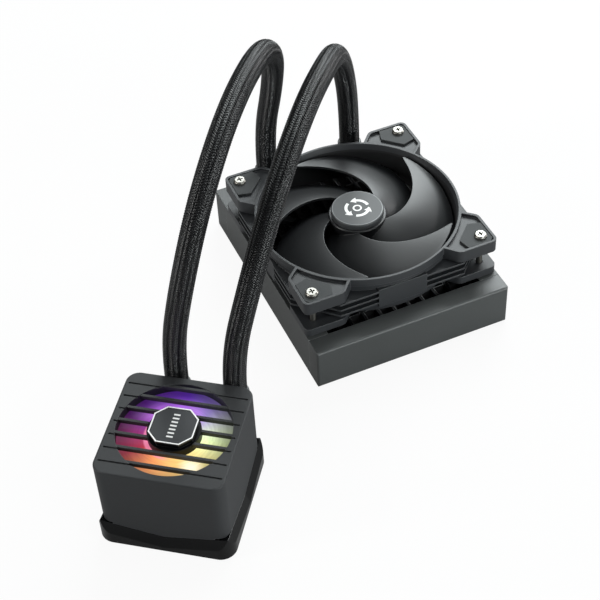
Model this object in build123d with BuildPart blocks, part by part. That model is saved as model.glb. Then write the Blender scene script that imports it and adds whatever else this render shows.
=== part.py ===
from build123d import *
import os
from math import cos, degrees, pi, radians, sin, sqrt, tan

# A closed loop liquid cooler for a computer processor, in millimetres.
# The origin is on the underside of the radiator, on the axis of the fan.
# X runs along the short edge, Y along the long edge towards the hoses, Z up.

# Radiator
radiator_height = 27.0
front_tank_length = 12.0
rear_tank_length = 17.0
core_overhang = 2.5
core_height = 18.0
tube_count = 12
tube_thickness = 2.0
tube_edge_chamfer = 0.6
outer_fin_width = 9.05
fin_thickness = 0.4
fin_walls = 13
channel_thickness = 1.0
channel_hole_land = 4.5
case_hole_radius = 1.75
tank_edge_fillet = 1.2

# Fan frame
fan_size = 120.0
fan_depth = 25.0
bolt_inset = 7.5
ring_width = 2.5
flare_width = 1.2
flare_depth = 5.0
shroud_wall = 1.8
rim_height = 5.0
top_ear_thickness = 8.0
bottom_ear_thickness = 5.0
ear_corner_radius = 3.5
ear_reach = 24.0
ear_notch = 9.0
ear_side_radius = 5.0
ear_inner_drop = 10.0
ear_rim = 1.6
pocket_depth = 1.8
pocket_ring_gap = 0.4
rib_count = 3
rib_thickness = 1.2
rib_pitch = 4.2
rib_top_drop = 8.7
rib_chamfer = 21.3
panel_width = 30.0
panel_height = 13.5
panel_overlap = 1.0
strut_count = 4
strut_width = 3.6
strut_thickness = 3.6
strut_root = 1.0
motor_base_radius = 18.5
motor_base_thickness = 3.0
bearing_floor = 1.0
bearing_tube_extra = 1.0

# Fan pads and screws
pad_gap = 0.35
pad_inner_reach = 12.3
pad_outer_reach = 10.2
pad_inner_step = 2.0
pad_below_rim = 0.3
fan_screw_radius = 1.7
fan_screw_head_radius = 3.6
fan_screw_head_height = 2.0
fan_screw_head_chamfer = 0.8
fan_screw_end_depth = 3.0
cross_slot_width = 0.9
cross_slot_depth = 1.2
screw_hole_clearance = 0.4

# Fan rotor
hub_radius = 17.0
hub_wall = 2.0
hub_top_drop = 3.5
hub_top_fillet = 0.8
hub_cap_radius = 15.4
hub_cap_fillet = 0.9
rotor_lift = 0.9
blade_count = 5
blade_thickness = 1.5
tip_clearance = 1.3
blade_root_chord = 84.0
blade_tip_chord = 66.0
blade_sweep = 80.0
blade_sweep_bow = 22.0
blade_tip_round = 3.0
blade_phase = 29.0
blade_root_drop = 5.0
blade_tip_drop = 3.0
blade_fall = 14.0
blade_flat_share = 0.42

# Fan motor
fan_shaft_radius = 1.5
running_clearance = 0.05
bearing_wall = 2.4
bearing_tube_wall = 1.5
fan_board_thickness = 1.6
motor_air_gap = 0.7
magnet_wall = 1.6
magnet_overhang = 1.5
stator_height = 9.0
stator_slot_length = 5.0
stator_slot_width = 1.6
fan_board_overhang = 1.5
fan_shaft_floor_gap = 1.0

# Hoses
hose_diameter = 12.6
hose_spacing_radiator = 56.0
hose_setback = 8.5
hose_end_height = 40.0
hose_bend_share = 0.45
ferrule_wall = 1.0
ferrule_length = 10.0
ferrule_groove = 0.5
ferrule_groove_places = (3.5, 6.5)
fitting_radius = 5.5
fitting_flange_height = 1.4

# Pump block
block_x = -155.5
block_y = -112.8
block_turn = -36.5
block_height = 55.0
cover_stand_off = 4.0
cover_wall = 2.0
cover_corner = 7.0
cover_top_thickness = 5.5
cover_top_fillet = 0.8
window_margin = 4.0
bar_count = 7
bar_pitch = 8.65
bar_width = 1.5
bar_depth = 2.5
bar_drop = 0.3
bar_setback = 1.7
groove_margin = 2.0
groove_width = 1.1
groove_depth = 0.9
groove_lead = 1.95

# Base skirt of the pump block
skirt_wall = 6.0
skirt_corner = 8.5
skirt_lift = 0.6
skirt_low = 3.4
skirt_slope_rise = 6.0
skirt_vee_slope = 0.164

# Badge on the grille and its round stem
badge_width = 23.4
badge_corner = 5.6
badge_top = 57.8
badge_rim_height = 1.2
badge_rim_width = 0.7
badge_block_inset = 0.4
badge_face_drop = 0.3
stem_radius = 14.0
stem_top_drop = 0.8

# Pump
cold_plate_width = 60.0
cold_plate_thickness = 3.0
cold_plate_corner = 5.0
housing_gap = 0.5
housing_top = 26.0
can_radius = 13.0
can_wall = 1.8
can_top = 38.0
chamber_radius = 17.0
chamber_floor = 6.0
chamber_height = 8.0
pillar_inset = 6.0
pillar_radius = 2.5
seal_radius = 20.5
seal_width = 2.0
seal_height = 1.6
plate_screw_radius = 1.5
plate_screw_head_radius = 2.9
plate_screw_length = 9.0
plate_screw_sink = 0.3
plate_screw_play = 0.1
impeller_radius = 15.0
impeller_disc_thickness = 1.5
impeller_vane_count = 6
impeller_vane_height = 4.0
impeller_vane_width = 1.4
impeller_vane_length = 10.5
impeller_vane_circle = 9.3
impeller_vane_angle = 35.0
impeller_boss_radius = 8.5
pump_magnet_radius = 9.5
pump_shaft_radius = 1.5
part_clearance = 0.6
pump_stator_inset = 4.0
pump_stator_height = 11.0
coil_slot_count = 6
coil_slot_width = 3.0
coil_slot_inset = 10.0
board_thickness = 1.6
pump_board_radius = 22.0
light_board_gap = 3.0
led_count = 12
led_size = 3.0
led_inset = 9.0
led_height = 1.2
led_gap = 0.2
light_disc_overlap = 1.5
light_disc_thickness = 3.2
disc_foot_inset = 1.0
disc_foot_wall = 2.0

# Elbows of the pump block
elbow_spacing = 32.0
elbow_offset = 4.0
elbow_height = 19.5
elbow_bend = 7.0
elbow_reach = 9.0
elbow_hole_clearance = 0.6
elbow_notch_extra = 1.5
port_radius = 4.0
port_depth = 12.0

# Routes of the two hoses, from the radiator to the pump block
left_route = [
    (-28.0, 71.0, 40.0),
    (-28.0, 71.0, 68.0),
    (-27.5, 53.0, 115.0),
    (-35.0, 29.0, 155.0),
    (-55.0, -5.0, 185.0),
    (-88.0, -47.0, 190.0),
    (-117.0, -75.0, 163.0),
    (-133.5, -79.0, 113.0),
    (-139.57, -71.1, 67.0),
    (-139.57, -71.1, 40.0),
]
right_route = [
    (28.0, 71.0, 40.0),
    (28.0, 71.0, 70.0),
    (19.0, 57.5, 108.0),
    (2.0, 28.0, 143.0),
    (-17.5, -6.5, 168.0),
    (-48.5, -45.0, 174.5),
    (-78.5, -74.0, 151.0),
    (-99.5, -87.0, 110.0),
    (-113.85, -90.13, 66.0),
    (-113.85, -90.13, 40.0),
]

# Places that follow from the sizes above: the radiator is as wide as its fan
half_fan = fan_size / 2
bolt_spacing = fan_size - 2 * bolt_inset
half_bolts = bolt_spacing / 2
opening_radius = half_fan - ring_width
radiator_width = fan_size
half_width = radiator_width / 2
core_length = fan_size + 2 * core_overhang
half_core = core_length / 2
core_bottom = (radiator_height - core_height) / 2
web_inner = half_width - channel_thickness
channel_flange = half_width - half_bolts + channel_hole_land
tube_pitch = 2 * (web_inner - outer_fin_width - tube_thickness / 2) / (tube_count - 1)
fan_bottom = radiator_height
fan_top = fan_bottom + fan_depth
hub_top = fan_top - hub_top_drop
hub_bottom = fan_bottom + motor_base_thickness + fan_board_thickness + rotor_lift
cup_ceiling = hub_top - hub_wall
tip_radius = opening_radius - tip_clearance
pocket_floor = fan_top - pocket_depth
rear_tank_middle = half_core + rear_tank_length / 2
hose_radius = hose_diameter / 2
ferrule_radius = hose_radius + ferrule_wall
hose_y = half_core + rear_tank_length - hose_setback
cover_width = cold_plate_width + 2 * cover_stand_off
half_cover = cover_width / 2
skirt_opening = cold_plate_width + 2 * housing_gap
skirt_width = skirt_opening + 2 * skirt_wall
half_skirt = skirt_width / 2
window_radius = half_cover - window_margin
bar_top = block_height - bar_drop
stem_top = block_height - stem_top_drop
badge_block_width = badge_width - 2 * badge_block_inset
skirt_edge = skirt_low + skirt_slope_rise
skirt_top = skirt_edge + skirt_vee_slope * half_cover
cover_ceiling = block_height - cover_top_thickness
half_plate = cold_plate_width / 2
pillar_spacing = cold_plate_width - 2 * pillar_inset
pump_stator_radius = half_plate - pump_stator_inset
light_disc_radius = window_radius + light_disc_overlap
light_disc_bottom = cover_ceiling - light_disc_thickness
light_board_width = 2 * (half_cover - cover_wall - light_board_gap)
light_board_top = light_disc_bottom - led_height - led_gap
pump_board_top = light_board_top - board_thickness
led_circle_radius = light_board_width / 2 - led_inset
disc_foot_radius = light_board_width / 2 - disc_foot_inset

os.makedirs("parts", exist_ok=True)


# Helpers

def save(part, name):
    part.label = name
    export_step(part, "parts/" + name + ".step")


def block_plane(height):
    turn = radians(block_turn)
    return Plane(origin=(block_x, block_y, height), x_dir=(cos(turn), sin(turn), 0), z_dir=(0, 0, 1))


def block_side(quarter):
    # An upright plane through the middle of the block: its x points out of one
    # side, its y points up and its normal runs along that side.
    out = radians(block_turn + 90 * quarter)
    return Plane(origin=(block_x, block_y, 0), x_dir=(cos(out), sin(out), 0), z_dir=(sin(out), -cos(out), 0))


def corner_points(*points):
    # A corner outline that is the same on both sides of the diagonal.
    mirrored = [(y, x) for x, y in reversed(points) if x != y]
    return list(points) + mirrored


def bend_radii(route):
    # The largest arc that each corner of a hose's route has room for.
    radii = []
    for before, corner, after in zip(route, route[1:], route[2:]):
        run_in = Vector(corner) - Vector(before)
        run_out = Vector(after) - Vector(corner)
        half_turn = radians(run_in.get_angle(run_out)) / 2
        radii.append(hose_bend_share * min(run_in.length, run_out.length) / tan(half_turn))
    return radii


# Radiator core: flat tubes that run from tank to tank, with folded fins between

with BuildPart() as radiator_tubes:
    with BuildSketch(Plane.XZ.offset(-half_core)) as tube_section:
        with Locations((0, radiator_height / 2)):
            with GridLocations(tube_pitch, 0, tube_count, 1):
                Rectangle(tube_thickness, core_height)
        chamfer(tube_section.vertices(), tube_edge_chamfer)
    extrude(amount=core_length)
save(radiator_tubes.part, "radiator_tubes")

first_tube = -(tube_count - 1) / 2 * tube_pitch
inner_fin_width = tube_pitch - tube_thickness
outer_fin_middle = web_inner - outer_fin_width / 2
fin_gaps = [(-outer_fin_middle, outer_fin_width), (outer_fin_middle, outer_fin_width)]
for index in range(tube_count - 1):
    fin_gaps.append((first_tube + (index + 0.5) * tube_pitch, inner_fin_width))
fin_step = (core_length - fin_thickness) / (fin_walls - 1)

with BuildPart() as radiator_fins:
    with BuildSketch(Plane.XY.offset(core_bottom)):
        for middle, width in fin_gaps:
            with Locations((middle, 0)):
                with GridLocations(0, fin_step, 1, fin_walls):
                    Rectangle(width, fin_thickness)
            for fold in range(fin_walls - 1):
                side = 1 if fold % 2 else -1
                fold_y = (fold - (fin_walls - 2) / 2) * fin_step
                with Locations((middle + side * (width - fin_thickness) / 2, fold_y)):
                    Rectangle(fin_thickness, fin_step)
    extrude(amount=core_height)
save(radiator_fins.part, "radiator_fins")


# Radiator tanks

with BuildPart() as front_tank:
    with BuildSketch():
        with Locations((0, -half_core - front_tank_length / 2)):
            Rectangle(radiator_width, front_tank_length)
    extrude(amount=radiator_height)
    front_edges = front_tank.edges().group_by(Axis.Y)[0]
    fillet(front_edges, tank_edge_fillet)
save(front_tank.part, "front_tank")

with BuildPart() as rear_tank:
    with BuildSketch():
        with Locations((0, rear_tank_middle)):
            Rectangle(radiator_width, rear_tank_length)
    extrude(amount=radiator_height)
    rear_edges = rear_tank.edges().group_by(Axis.Y)[-1]
    fillet(rear_edges, tank_edge_fillet)
    with BuildSketch(Plane.XY.offset(radiator_height)):
        with Locations((0, hose_y)):
            with GridLocations(hose_spacing_radiator, 0, 2, 1):
                Circle(port_radius)
    extrude(amount=-port_depth, mode=Mode.SUBTRACT)
save(rear_tank.part, "rear_tank")


# Side channels: folded sheet with the holes for the case and the fan

def side_channel(side):
    with BuildPart() as channel:
        with BuildSketch(Plane.XZ.offset(-half_core)):
            with Locations((side * (half_width - channel_flange / 2), radiator_height / 2)):
                Rectangle(channel_flange, radiator_height)
            with Locations((side * (web_inner - channel_flange / 2), radiator_height / 2)):
                Rectangle(channel_flange, radiator_height - 2 * channel_thickness, mode=Mode.SUBTRACT)
        extrude(amount=core_length)
        with Locations((side * half_bolts, half_bolts, 0), (side * half_bolts, -half_bolts, 0)):
            Cylinder(case_hole_radius, 3 * radiator_height, mode=Mode.SUBTRACT)
    return channel.part


save(side_channel(-1), "side_channel_left")
save(side_channel(1), "side_channel_right")


# Fan frame: a round shroud with corner ears, side ribs, struts and a motor base

ear_outline = corner_points(
    (half_fan - ear_reach - ear_notch, half_fan - ear_inner_drop),
    (half_fan - ear_reach, half_fan),
    (half_fan, half_fan),
)
pocket_inset = half_fan - ear_rim
pad_outline = corner_points(
    (half_bolts - pad_inner_reach, half_bolts - pad_inner_step),
    (half_bolts - pad_outer_reach, pocket_inset - pad_gap),
    (pocket_inset - pad_gap, pocket_inset - pad_gap),
)


ear_radii = [0, ear_side_radius, ear_corner_radius, ear_side_radius, 0]


def ear_shape(inset):
    # One ear, or its pocket where the outline is set in by the width of the rim.
    with BuildSketch(mode=Mode.PRIVATE) as ear:
        with BuildLine():
            FilletPolyline(*ear_outline, radius=ear_radii, close=True)
        make_face()
        if inset:
            offset(amount=-inset, kind=Kind.INTERSECTION)
    return ear.sketch


with BuildPart() as fan_frame:
    # Shroud wall, with a thicker rim at the top
    with BuildSketch(Plane.XY.offset(fan_bottom)):
        Circle(opening_radius + shroud_wall)
    extrude(amount=fan_depth)
    with BuildSketch(Plane.XY.offset(fan_top - rim_height)):
        Circle(half_fan)
    extrude(amount=rim_height)
    # Corner ears
    with BuildSketch(Plane.XY.offset(fan_top - top_ear_thickness)):
        for quarter in range(4):
            add(ear_shape(0).rotate(Axis.Z, 90 * quarter))
    extrude(amount=top_ear_thickness)
    with BuildSketch(Plane.XY.offset(fan_bottom)):
        for quarter in range(4):
            add(ear_shape(0).rotate(Axis.Z, 90 * quarter))
    extrude(amount=bottom_ear_thickness)
    # Side ribs and the smooth middle panels
    for rib in range(rib_count):
        rib_bottom = fan_top - rib_top_drop - rib * rib_pitch - rib_thickness
        with BuildSketch(Plane.XY.offset(rib_bottom)) as rib_sketch:
            Rectangle(fan_size, fan_size)
            chamfer(rib_sketch.vertices(), rib_chamfer)
        extrude(amount=rib_thickness)
    with BuildSketch(Plane.XY.offset(fan_bottom + bottom_ear_thickness - panel_overlap)):
        Rectangle(fan_size, panel_width)
        Rectangle(panel_width, fan_size)
    extrude(amount=panel_height)
    # Pockets that hold the pads
    with BuildSketch(Plane.XY.offset(pocket_floor)):
        for quarter in range(4):
            add(ear_shape(ear_rim).rotate(Axis.Z, 90 * quarter))
        Circle(half_fan + pocket_ring_gap, mode=Mode.SUBTRACT)
    extrude(amount=pocket_depth, mode=Mode.SUBTRACT)
    # The round opening, which flares at the top
    with BuildSketch(Plane.XY.offset(fan_bottom)):
        Circle(opening_radius)
    extrude(amount=fan_depth, mode=Mode.SUBTRACT)
    with BuildSketch(Plane.XY.offset(fan_top - flare_depth)):
        Circle(opening_radius)
    with BuildSketch(Plane.XY.offset(fan_top)):
        Circle(opening_radius + flare_width)
    loft(mode=Mode.SUBTRACT)
    # Struts and the base of the motor
    with BuildSketch(Plane.XY.offset(fan_bottom)):
        with PolarLocations(opening_radius / 2, strut_count, 45):
            Rectangle(opening_radius + strut_root, strut_width)
        Circle(motor_base_radius, mode=Mode.SUBTRACT)
    extrude(amount=strut_thickness)
    with BuildSketch(Plane.XY.offset(fan_bottom)):
        Circle(motor_base_radius)
    extrude(amount=motor_base_thickness)
    tube_radius = fan_shaft_radius + bearing_wall + bearing_tube_wall
    with BuildSketch(Plane.XY.offset(fan_bottom)):
        Circle(tube_radius)
    extrude(amount=motor_base_thickness + fan_board_thickness + stator_height + bearing_tube_extra)
    with BuildSketch(Plane.XY.offset(fan_bottom + bearing_floor)):
        Circle(tube_radius - bearing_tube_wall)
    extrude(amount=fan_depth, mode=Mode.SUBTRACT)
    # Screw holes
    with BuildSketch(Plane.XY.offset(fan_bottom)):
        with GridLocations(bolt_spacing, bolt_spacing, 2, 2):
            Circle(fan_screw_radius + screw_hole_clearance)
    extrude(amount=fan_depth, mode=Mode.SUBTRACT)
save(fan_frame.part, "fan_frame")

with BuildPart() as fan_pads:
    with BuildSketch(Plane.XY.offset(pocket_floor)):
        for quarter in range(4):
            with BuildSketch(mode=Mode.PRIVATE) as pad:
                with BuildLine():
                    Polyline(*pad_outline, close=True)
                make_face()
                pad_corner = pad.vertices().sort_by(Axis((0, 0, 0), (1, 1, 0)))[-1]
                chamfer(pad_corner, ear_corner_radius / 2)
            add(pad.sketch.rotate(Axis.Z, 90 * quarter))
        Circle(half_fan + pocket_ring_gap + pad_gap, mode=Mode.SUBTRACT)
        with GridLocations(bolt_spacing, bolt_spacing, 2, 2):
            Circle(fan_screw_radius + screw_hole_clearance, mode=Mode.SUBTRACT)
    extrude(amount=pocket_depth - pad_below_rim)
save(fan_pads.part, "fan_pads")

pad_top = fan_top - pad_below_rim
fan_screw_length = pad_top - radiator_height + fan_screw_end_depth

with BuildPart() as fan_screws:
    with BuildSketch(Plane.XY.offset(pad_top - fan_screw_length)):
        with GridLocations(bolt_spacing, bolt_spacing, 2, 2):
            Circle(fan_screw_radius)
    extrude(amount=fan_screw_length)
    with BuildSketch(Plane.XY.offset(pad_top)):
        with GridLocations(bolt_spacing, bolt_spacing, 2, 2):
            Circle(fan_screw_head_radius)
    extrude(amount=fan_screw_head_height)
    chamfer(fan_screws.edges().group_by(Axis.Z)[-1], fan_screw_head_chamfer)
    with BuildSketch(Plane.XY.offset(pad_top + fan_screw_head_height)):
        with GridLocations(bolt_spacing, bolt_spacing, 2, 2):
            Rectangle(fan_screw_head_radius, cross_slot_width)
            Rectangle(cross_slot_width, fan_screw_head_radius)
    extrude(amount=-cross_slot_depth, mode=Mode.SUBTRACT)
save(fan_screws.part, "fan_screws")


# Fan motor

with BuildPart() as fan_bearing:
    with BuildSketch(Plane.XY.offset(fan_bottom + bearing_floor)):
        Circle(fan_shaft_radius + bearing_wall)
        Circle(fan_shaft_radius + running_clearance, mode=Mode.SUBTRACT)
    extrude(amount=motor_base_thickness + fan_board_thickness + stator_height)
save(fan_bearing.part, "fan_bearing")

fan_board_bottom = fan_bottom + motor_base_thickness
fan_board_top = fan_board_bottom + fan_board_thickness
magnet_outer = hub_radius - hub_wall - running_clearance
fan_stator_radius = magnet_outer - magnet_wall - motor_air_gap

with BuildPart() as fan_circuit_board:
    with BuildSketch(Plane.XY.offset(fan_board_bottom)):
        Circle(fan_stator_radius + fan_board_overhang)
        Circle(tube_radius + running_clearance, mode=Mode.SUBTRACT)
    extrude(amount=fan_board_thickness)
save(fan_circuit_board.part, "fan_circuit_board")

with BuildPart() as fan_stator:
    with BuildSketch(Plane.XY.offset(fan_board_top)):
        Circle(fan_stator_radius)
        with PolarLocations(fan_stator_radius, strut_count, 45):
            Rectangle(2 * stator_slot_length, stator_slot_width, mode=Mode.SUBTRACT)
        Circle(tube_radius + running_clearance, mode=Mode.SUBTRACT)
    extrude(amount=stator_height)
save(fan_stator.part, "fan_stator")


# Fan rotor: a hub cup with five blades that sweep forward

blade_root = hub_radius - hub_wall / 2
blade_reach = tip_radius - blade_root


def tip_setback(from_tip):
    # How far the leading edge draws back, in degrees, where it rounds into the tip.
    into = max(blade_tip_round - from_tip, 0)
    return degrees((blade_tip_round - sqrt(blade_tip_round ** 2 - into ** 2)) / tip_radius)


def blade_point(span, chord_share):
    # span runs from 0 at the hub to 1 at the tip, chord_share from the leading
    # edge at 0 to the trailing edge at 1.
    radius = blade_root + span * blade_reach
    back = tip_setback((1 - span) * blade_reach)
    chord = blade_root_chord + span * (blade_tip_chord - blade_root_chord) - back
    lead = blade_phase + blade_sweep * span + blade_sweep_bow * span * (1 - span) - back
    angle = lead - chord * chord_share
    top = fan_top - blade_root_drop + span * (blade_root_drop - blade_tip_drop)
    height = top - blade_fall * (blade_flat_share * chord_share + (1 - blade_flat_share) * chord_share ** 2)
    return Vector(radius * cos(radians(angle)), radius * sin(radians(angle)), height)


span_steps = 7
chord_steps = 8
tip_shares = (1.0, 0.5, 0.2, 0.0)
spans = [row / span_steps for row in range(span_steps)]
spans += [1 - share * blade_tip_round / blade_reach for share in tip_shares]
chord_shares = [column / chord_steps for column in range(chord_steps + 1)]
blade_grid = [[blade_point(span, share) for share in chord_shares] for span in spans]
blade_surface = Face.make_surface_from_array_of_points(blade_grid)

with BuildPart(mode=Mode.PRIVATE) as blade:
    thicken(blade_surface, amount=blade_thickness / 2, both=True)

with BuildPart() as fan_rotor:
    with BuildSketch(Plane.XY.offset(hub_bottom)):
        Circle(hub_radius)
    extrude(amount=hub_top - hub_bottom)
    fillet(fan_rotor.edges().group_by(Axis.Z)[-1], hub_top_fillet)
    for index in range(blade_count):
        add(blade.part.rotate(Axis.Z, 360 / blade_count * index))
    with BuildSketch(Plane.XY.offset(hub_bottom)):
        Circle(hub_radius - hub_wall)
    extrude(amount=cup_ceiling - hub_bottom, mode=Mode.SUBTRACT)
save(fan_rotor.part, "fan_rotor")

with BuildPart() as hub_cap:
    with BuildSketch(Plane.XY.offset(hub_top)):
        Circle(hub_cap_radius)
    extrude(amount=hub_top_drop)
    fillet(hub_cap.edges().group_by(Axis.Z)[-1], hub_cap_fillet)
save(hub_cap.part, "hub_cap")

with BuildPart() as rotor_magnet:
    with BuildSketch(Plane.XY.offset(cup_ceiling)):
        Circle(magnet_outer)
        Circle(magnet_outer - magnet_wall, mode=Mode.SUBTRACT)
    extrude(amount=-stator_height - magnet_overhang)
save(rotor_magnet.part, "rotor_magnet")

with BuildPart() as rotor_shaft:
    with BuildSketch(Plane.XY.offset(cup_ceiling)):
        Circle(fan_shaft_radius)
    extrude(amount=-(cup_ceiling - fan_bottom - bearing_floor - fan_shaft_floor_gap))
save(rotor_shaft.part, "rotor_shaft")


# Hoses with their ferrules and fittings

print("left hose radii", [round(radius) for radius in bend_radii(left_route)])
print("right hose radii", [round(radius) for radius in bend_radii(right_route)])


def hose(route):
    with BuildPart() as tube:
        with BuildLine() as path:
            FilletPolyline(*route, radius=bend_radii(route))
        with BuildSketch(Plane(origin=route[0], z_dir=(0, 0, 1))):
            Circle(hose_radius)
        sweep(path=path.wires()[0])
    length = path.wires()[0].length
    volume_share = tube.part.volume / (pi * hose_radius ** 2 * length)
    print("hose length", round(length, 1), "volume share", round(volume_share, 4))
    return tube.part


save(hose(left_route), "hose_left")
save(hose(right_route), "hose_right")


def ferrule(plane):
    # A crimped sleeve that ends where the hose begins, with two grooves.
    with BuildPart() as sleeve:
        with BuildSketch(plane):
            Circle(ferrule_radius)
        extrude(amount=ferrule_length)
        chamfer(sleeve.edges().filter_by(GeomType.CIRCLE), ferrule_groove)
        for place in ferrule_groove_places:
            with BuildSketch(plane.offset(place - ferrule_groove)):
                Circle(ferrule_radius + ferrule_wall)
                Circle(ferrule_radius - ferrule_groove, mode=Mode.SUBTRACT)
            extrude(amount=2 * ferrule_groove, mode=Mode.SUBTRACT)
    return sleeve.part


def radiator_fitting(x):
    with BuildPart() as fitting:
        with BuildSketch(Plane(origin=(x, hose_y, radiator_height), z_dir=(0, 0, 1))):
            Circle(fitting_radius)
        extrude(amount=hose_end_height - ferrule_length - radiator_height)
        with BuildSketch(Plane(origin=(x, hose_y, radiator_height), z_dir=(0, 0, 1))):
            Circle(ferrule_radius)
        extrude(amount=fitting_flange_height)
    return fitting.part


ferrule_bottom = hose_end_height - ferrule_length
for name, side in (("left", -1), ("right", 1)):
    hose_x = side * hose_spacing_radiator / 2
    save(radiator_fitting(hose_x), "radiator_fitting_" + name)
    save(ferrule(Plane(origin=(hose_x, hose_y, ferrule_bottom), z_dir=(0, 0, 1))), "radiator_ferrule_" + name)


def elbow(x):
    # A pipe that leaves the housing level and turns upright behind the cover.
    wall = half_cover + elbow_reach
    middle = block_plane(0)
    side_plane = Plane(middle.from_local_coords((x, 0, 0)), x_dir=middle.y_dir, z_dir=middle.x_dir)
    with BuildPart() as pipe:
        with BuildLine(side_plane) as path:
            FilletPolyline(
                (half_plate, elbow_height),
                (wall, elbow_height),
                (wall, ferrule_bottom),
                radius=elbow_bend,
            )
        with BuildSketch(Plane(origin=path.wires()[0] @ 0, z_dir=path.wires()[0] % 0)):
            Circle(fitting_radius)
        sweep(path=path.wires()[0])
    return pipe.part


for name, side in (("left", -1), ("right", 1)):
    elbow_x = elbow_offset + side * elbow_spacing / 2
    save(elbow(elbow_x), "pump_elbow_" + name)
    ferrule_origin = block_plane(ferrule_bottom).from_local_coords((elbow_x, half_cover + elbow_reach, 0))
    save(ferrule(Plane(origin=ferrule_origin, z_dir=(0, 0, 1))), "pump_ferrule_" + name)


# Cold plate and its screws

with BuildPart() as cold_plate:
    with BuildSketch(block_plane(0)):
        RectangleRounded(cold_plate_width, cold_plate_width, cold_plate_corner)
    extrude(amount=cold_plate_thickness)
    with Locations(block_plane(0)):
        with GridLocations(pillar_spacing, pillar_spacing, 2, 2):
            with Locations(Location((0, 0, 0), (180, 0, 0))):
                CounterSinkHole(
                    plate_screw_radius + running_clearance, plate_screw_head_radius, cold_plate_thickness
                )
save(cold_plate.part, "cold_plate")

with BuildPart() as cold_plate_screws:
    head_height = plate_screw_head_radius - plate_screw_radius
    with Locations(block_plane(0)):
        with GridLocations(pillar_spacing, pillar_spacing, 2, 2):
            with Locations((0, 0, plate_screw_sink + plate_screw_length / 2)):
                Cylinder(plate_screw_radius, plate_screw_length)
            with Locations((0, 0, plate_screw_sink + head_height / 2)):
                Cone(
                    plate_screw_head_radius - plate_screw_sink - plate_screw_play,
                    plate_screw_radius - plate_screw_play,
                    head_height,
                )
save(cold_plate_screws.part, "cold_plate_screws")

with BuildPart() as cold_plate_seal:
    with BuildSketch(block_plane(cold_plate_thickness)):
        Circle(seal_radius + seal_width / 2)
        Circle(seal_radius - seal_width / 2, mode=Mode.SUBTRACT)
    extrude(amount=seal_height)
save(cold_plate_seal.part, "cold_plate_seal")


# Pump housing with its chamber, rotor can, pillars and ports

with BuildPart() as pump_housing:
    with BuildSketch(block_plane(cold_plate_thickness)):
        RectangleRounded(cold_plate_width, cold_plate_width, cold_plate_corner)
    extrude(amount=housing_top - cold_plate_thickness)
    with BuildSketch(block_plane(cold_plate_thickness)):
        Circle(can_radius)
    extrude(amount=can_top - cold_plate_thickness)
    with BuildSketch(block_plane(cold_plate_thickness)):
        with GridLocations(pillar_spacing, pillar_spacing, 2, 2):
            Circle(pillar_radius)
    extrude(amount=light_board_top - board_thickness - cold_plate_thickness)
    with BuildSketch(block_plane(chamber_floor)):
        Circle(chamber_radius)
    extrude(amount=chamber_height, mode=Mode.SUBTRACT)
    with BuildSketch(block_plane(chamber_floor)):
        Circle(can_radius - can_wall)
    extrude(amount=can_top - can_wall - chamber_floor, mode=Mode.SUBTRACT)
    with BuildSketch(block_plane(cold_plate_thickness)):
        Circle(seal_radius + seal_width / 2 + running_clearance)
        Circle(seal_radius - seal_width / 2 - running_clearance, mode=Mode.SUBTRACT)
        with GridLocations(pillar_spacing, pillar_spacing, 2, 2):
            Circle(plate_screw_radius + running_clearance)
    extrude(amount=seal_height + running_clearance, mode=Mode.SUBTRACT)
    with BuildSketch(block_plane(cold_plate_thickness)):
        with GridLocations(pillar_spacing, pillar_spacing, 2, 2):
            Circle(plate_screw_radius + running_clearance)
    extrude(amount=plate_screw_length, mode=Mode.SUBTRACT)
    port_plane = Plane(
        origin=block_plane(elbow_height).from_local_coords((elbow_offset, half_plate, 0)),
        x_dir=-block_plane(0).x_dir,
        z_dir=block_plane(0).y_dir,
    )
    with BuildSketch(port_plane):
        with GridLocations(elbow_spacing, 0, 2, 1):
            Circle(port_radius)
    extrude(amount=-port_depth, mode=Mode.SUBTRACT)
save(pump_housing.part, "pump_housing")


# Impeller that turns on a fixed shaft inside the can

impeller_bottom = chamber_floor + part_clearance

with BuildPart() as pump_impeller:
    with BuildSketch(block_plane(impeller_bottom)):
        Circle(impeller_radius)
    extrude(amount=impeller_disc_thickness)
    with BuildSketch(block_plane(impeller_bottom + impeller_disc_thickness)):
        with PolarLocations(impeller_vane_circle, impeller_vane_count):
            Rectangle(impeller_vane_length, impeller_vane_width, rotation=impeller_vane_angle)
        Circle(impeller_boss_radius)
    extrude(amount=impeller_vane_height)
    with BuildSketch(block_plane(impeller_bottom)):
        Circle(pump_shaft_radius + running_clearance)
    extrude(amount=can_top, mode=Mode.SUBTRACT)
save(pump_impeller.part, "pump_impeller")

magnet_bottom = impeller_bottom + impeller_disc_thickness + impeller_vane_height

with BuildPart() as pump_magnet:
    with BuildSketch(block_plane(magnet_bottom)):
        Circle(pump_magnet_radius)
        Circle(pump_shaft_radius + running_clearance, mode=Mode.SUBTRACT)
    extrude(amount=can_top - can_wall - part_clearance - magnet_bottom)
save(pump_magnet.part, "pump_magnet")

with BuildPart() as pump_shaft:
    with BuildSketch(block_plane(chamber_floor)):
        Circle(pump_shaft_radius)
    extrude(amount=can_top - can_wall - chamber_floor)
save(pump_shaft.part, "pump_shaft")

with BuildPart() as pump_stator:
    with BuildSketch(block_plane(housing_top)):
        Circle(pump_stator_radius)
        with PolarLocations(pump_stator_radius, coil_slot_count):
            Rectangle(2 * coil_slot_inset, coil_slot_width, mode=Mode.SUBTRACT)
        Circle(can_radius + running_clearance, mode=Mode.SUBTRACT)
    extrude(amount=pump_stator_height)
save(pump_stator.part, "pump_stator")

with BuildPart() as pump_board:
    with BuildSketch(block_plane(can_top)):
        Circle(pump_board_radius)
    extrude(amount=board_thickness)
save(pump_board.part, "pump_board")


# Light board and the disc that spreads its light under the grille

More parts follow.
